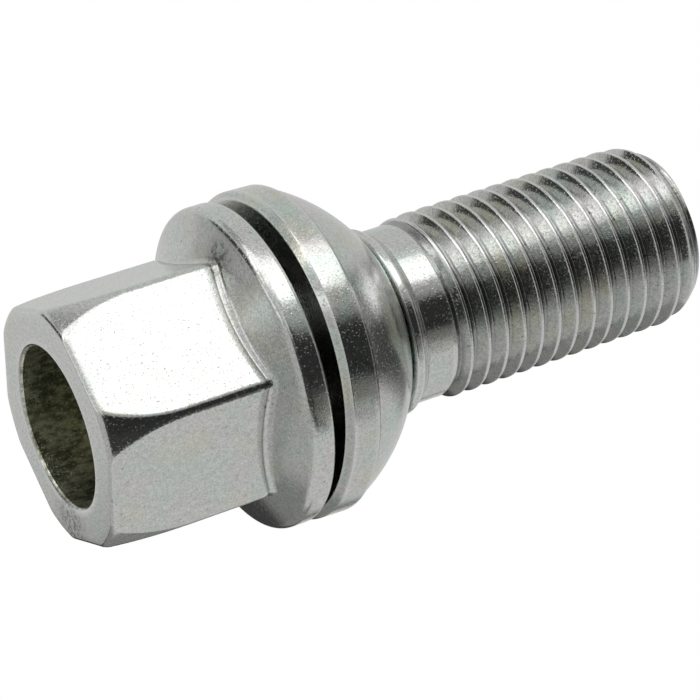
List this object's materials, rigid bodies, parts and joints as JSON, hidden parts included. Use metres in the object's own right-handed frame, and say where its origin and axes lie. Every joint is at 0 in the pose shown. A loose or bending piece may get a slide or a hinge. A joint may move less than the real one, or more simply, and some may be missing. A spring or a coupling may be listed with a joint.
{
  "type": "wheel bolt",
  "caption": "Zinc-plated hexagon-head wheel bolt with a hollow head, an integral flange, a loose ball-seat collar and an M14 x 1.5 thread.",
  "frame": {"origin": "centre of the head's end face, which is the lowest face when the bolt stands on its head", "axes": "+Z along the bolt's axis from the head to the tip of the thread; one hexagon flat faces -Y and one corner lies on +X"},
  "size_m": [0.0243, 0.0242, 0.05],
  "materials": {
    "zinc_bolt": "bright zinc plate, lightly speckled",
    "zinc_collar": "bright zinc plate with a faint green and pink cast"
  },
  "bodies": {
    "bolt": {"bolt": "zinc_bolt"},
    "collar": {"seat_collar": "zinc_collar"}
  },
  "joints": [
    {"name": "collar_spin", "type": "hinge", "parent": "bolt", "child": "collar", "pos_m": [0, 0, 0.02013], "axis": [0.0156, 0.0452, 0.9989], "continuous": true}
  ]
}
